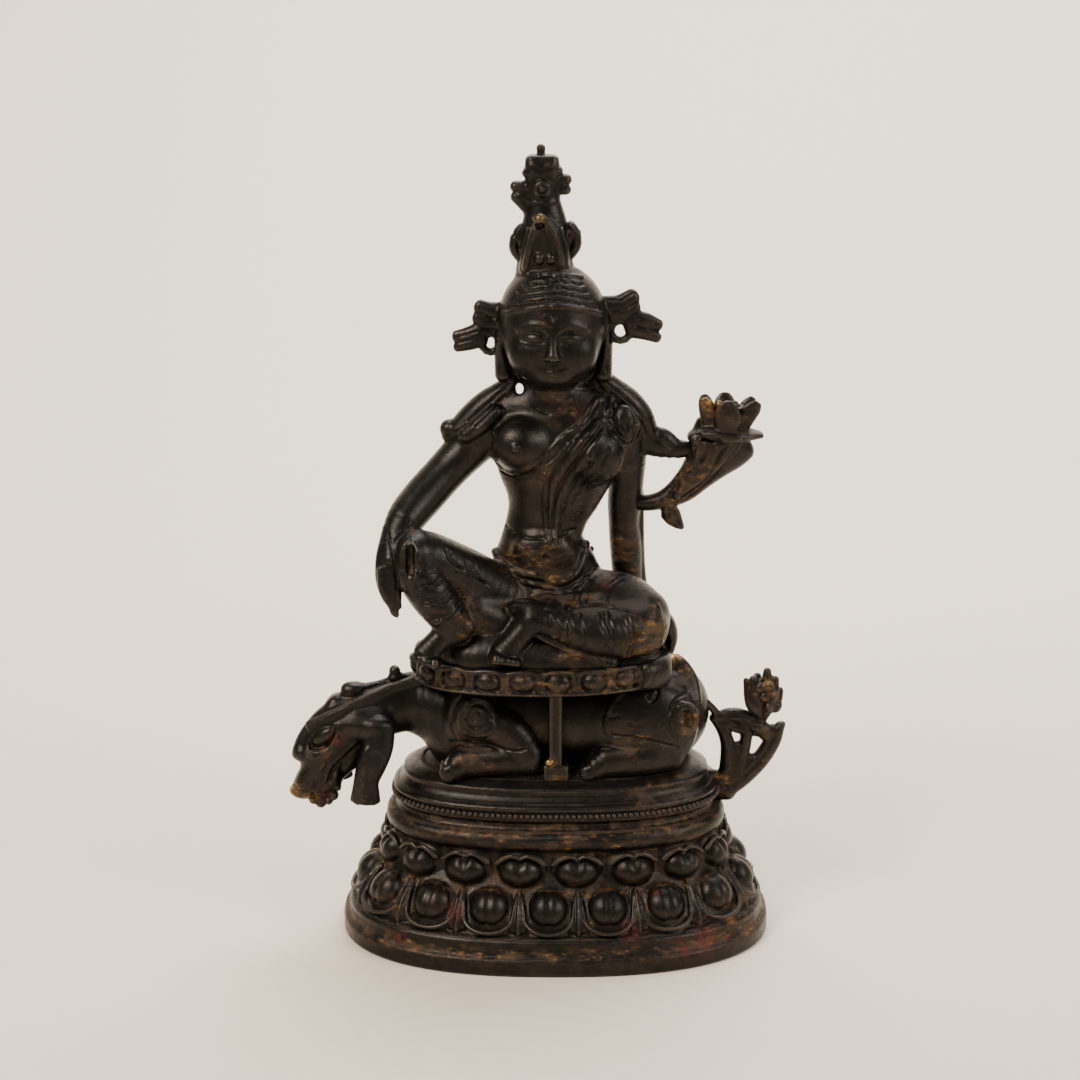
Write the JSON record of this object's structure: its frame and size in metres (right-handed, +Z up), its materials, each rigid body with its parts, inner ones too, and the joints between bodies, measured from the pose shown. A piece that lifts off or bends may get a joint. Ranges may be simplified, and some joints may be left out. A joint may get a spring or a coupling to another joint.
{
  "type": "tara figure",
  "caption": "Dark bronze Himalayan deity seated at ease on a lying elephant, one knee raised, lotus at the shoulder, on an oval lotus plinth.",
  "frame": {"origin": "centre of the plinth's flat underside", "axes": "+Z up to the crown, -Y the way the figure faces, +X towards the lotus spray behind the elephant's rump"},
  "size_m": [0.1678, 0.096, 0.2699],
  "materials": {
    "bronze": "dark patinated bronze with ochre dirt in the recesses and traces of red pigment"
  },
  "bodies": {
    "root": {"lotus_plinth": "bronze", "elephant": "bronze", "figure_on_lotus_seat": "bronze"}
  },
  "joints": []
}
